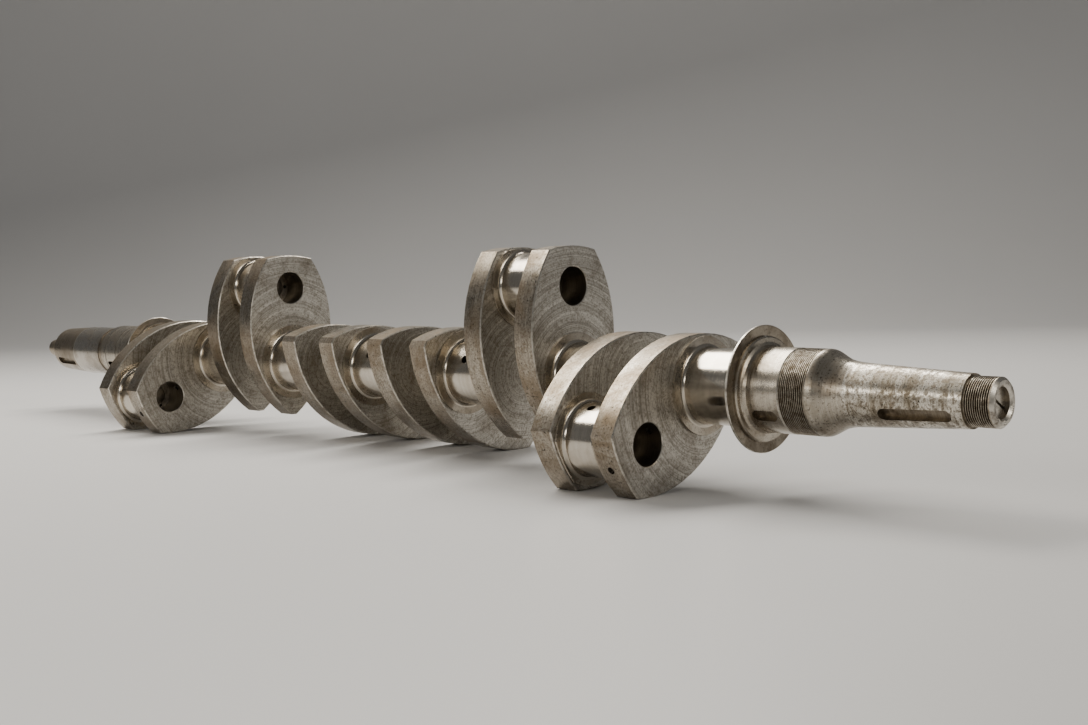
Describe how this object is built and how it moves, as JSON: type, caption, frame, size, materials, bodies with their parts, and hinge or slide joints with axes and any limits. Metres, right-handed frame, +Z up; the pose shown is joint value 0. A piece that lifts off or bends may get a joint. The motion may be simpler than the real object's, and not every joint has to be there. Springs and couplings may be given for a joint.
{
  "type": "crankshaft",
  "caption": "One-piece machined crankshaft: ground journals, almond webs, bored and plugged crankpins, oil throwers, keyed tapers at nose and tail.",
  "frame": {"origin": "middle of the fourth (centre) main journal, on the shaft's main axis", "axes": "+X along the main axis towards the threaded nose; +Z up, through the second and fifth crankpins, as the shaft lies on a bench; angles are turned about +X from +Z towards -Y"},
  "size_m": [0.8622, 0.1382, 0.1225],
  "materials": {
    "machined_steel": "ground and polished journals, milled webs with oil staining",
    "thrower_steel": "turned, satin",
    "plug_steel": "turned and oil-darkened",
    "blackened_screw": "blackened",
    "spigot_steel": "ground, satin",
    "ring_iron": "ground"
  },
  "bodies": {
    "shaft": {"crankshaft": "machined_steel", "front_oil_thrower": "thrower_steel", "rear_oil_thrower": "thrower_steel", "pin_1_front_plug": "plug_steel", "pin_1_rear_plug": "plug_steel", "pin_2_front_plug": "plug_steel", "pin_2_rear_plug": "plug_steel", "pin_3_front_plug": "plug_steel", "pin_3_rear_plug": "plug_steel", "pin_4_front_plug": "plug_steel", "pin_4_rear_plug": "plug_steel", "pin_5_front_plug": "plug_steel", "pin_5_rear_plug": "plug_steel", "pin_6_front_plug": "plug_steel", "pin_6_rear_plug": "plug_steel", "plug_lock_screw_1": "blackened_screw", "plug_lock_screw_2": "blackened_screw", "plug_lock_screw_3": "blackened_screw", "plug_lock_screw_4": "blackened_screw", "plug_lock_screw_5": "blackened_screw", "plug_lock_screw_6": "blackened_screw", "nose_plug": "plug_steel", "tail_spigot": "spigot_steel"},
    "ring_1": {"seal_ring_1": "ring_iron"},
    "ring_2": {"seal_ring_2": "ring_iron"},
    "ring_3": {"seal_ring_3": "ring_iron"}
  },
  "joints": [
    {"name": "seal_ring_1_turn", "type": "hinge", "parent": "shaft", "child": "ring_1", "pos_m": [-0.3065, 0, 0], "axis": [1, 0, 0], "continuous": true},
    {"name": "seal_ring_2_turn", "type": "hinge", "parent": "shaft", "child": "ring_2", "pos_m": [-0.3123, 0, 0], "axis": [1, 0, 0], "continuous": true},
    {"name": "seal_ring_3_turn", "type": "hinge", "parent": "shaft", "child": "ring_3", "pos_m": [-0.3283, 0, 0], "axis": [1, 0, 0], "continuous": true}
  ]
}
